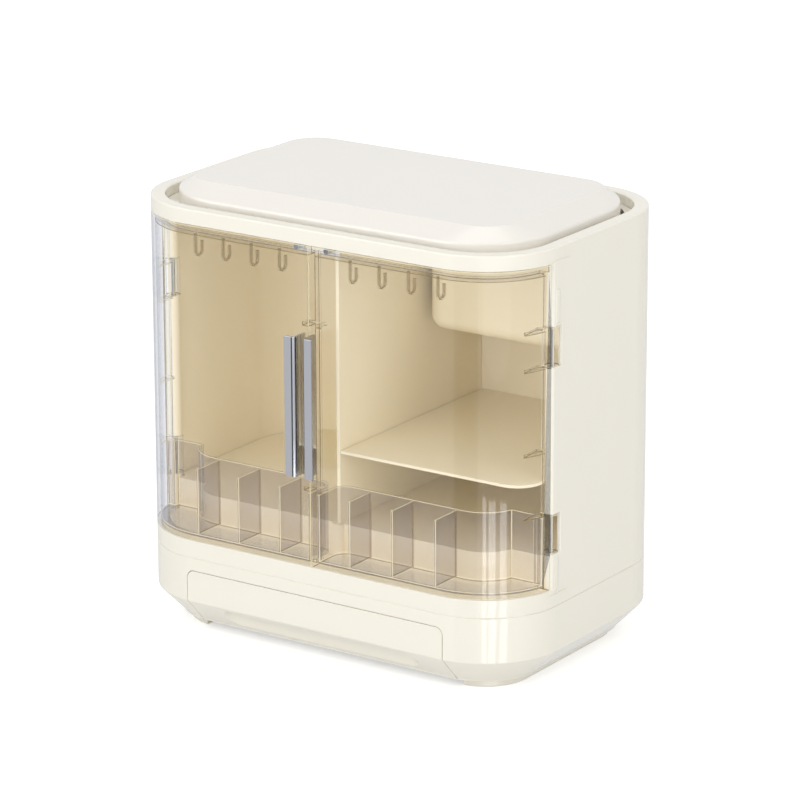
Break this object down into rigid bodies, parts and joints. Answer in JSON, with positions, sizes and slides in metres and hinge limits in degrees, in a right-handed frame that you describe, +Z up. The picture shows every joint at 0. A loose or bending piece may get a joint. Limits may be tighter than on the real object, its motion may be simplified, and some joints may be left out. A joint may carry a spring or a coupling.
{
  "type": "cosmetic_organizer_box",
  "caption": "Cosmetic organizer box: rounded cream cabinet with clear double doors, door trays, hooks, a drawer and a lift-off lid",
  "frame": {"origin": "Bottom centre of the whole box, handles included, at the level of the table it stands on", "axes": "+Z up, -Y towards the front with the doors and the drawer, +X to the right seen from the front"},
  "size_m": [0.3012, 0.211, 0.298],
  "materials": {
    "cream_plastic": "glossy cream plastic",
    "white_plastic": "glossy off-white plastic",
    "tan_plastic": "satin tan plastic",
    "clear_plastic": "clear plastic, glossy on both sides",
    "chrome": "bright plated metal",
    "steel": "plain steel",
    "magnet": "plated magnet"
  },
  "bodies": {
    "cabinet": {"upper_housing": "cream_plastic", "base_housing": "cream_plastic", "cabinet_floor": "tan_plastic", "top_deck": "tan_plastic", "centre_divider": "tan_plastic", "shelf": "tan_plastic", "foot_rail_left": "cream_plastic", "foot_rail_right": "cream_plastic", "hinge_pin_left_upper": "steel", "hinge_pin_left_lower": "steel", "hinge_pin_right_upper": "steel", "hinge_pin_right_lower": "steel", "catch_magnets": "magnet", "base_screws": "steel"},
    "door_right": {"door_right": "clear_plastic", "door_tray_right": "clear_plastic", "hooks_right": "clear_plastic", "tray_divider_right_1": "clear_plastic", "tray_divider_right_2": "clear_plastic", "tray_divider_right_3": "clear_plastic", "handle_right": "chrome", "door_magnet_right": "magnet"},
    "door_left": {"door_left": "clear_plastic", "door_tray_left": "clear_plastic", "hooks_left": "clear_plastic", "tray_divider_left_1": "clear_plastic", "tray_divider_left_2": "clear_plastic", "tray_divider_left_3": "clear_plastic", "handle_left": "chrome", "door_magnet_left": "magnet"},
    "drawer": {"drawer_tray": "white_plastic", "drawer_front": "cream_plastic"},
    "lid": {"lid": "white_plastic"}
  },
  "joints": [
    {"name": "door_right_hinge", "type": "hinge", "parent": "cabinet", "child": "door_right", "pos_m": [0.146, -0.0401, 0.161], "axis": [0, 0, 1], "range_deg": [0, 110]},
    {"name": "door_left_hinge", "type": "hinge", "parent": "cabinet", "child": "door_left", "pos_m": [-0.146, -0.0401, 0.161], "axis": [0, 0, -1], "range_deg": [0, 110]},
    {"name": "drawer_slide", "type": "slide", "parent": "cabinet", "child": "drawer", "axis": [0, -1, 0], "range_m": [0, 0.13]},
    {"name": "lid_lift", "type": "slide", "parent": "cabinet", "child": "lid", "axis": [0, 0, 1], "range_m": [0, 0.08]}
  ]
}
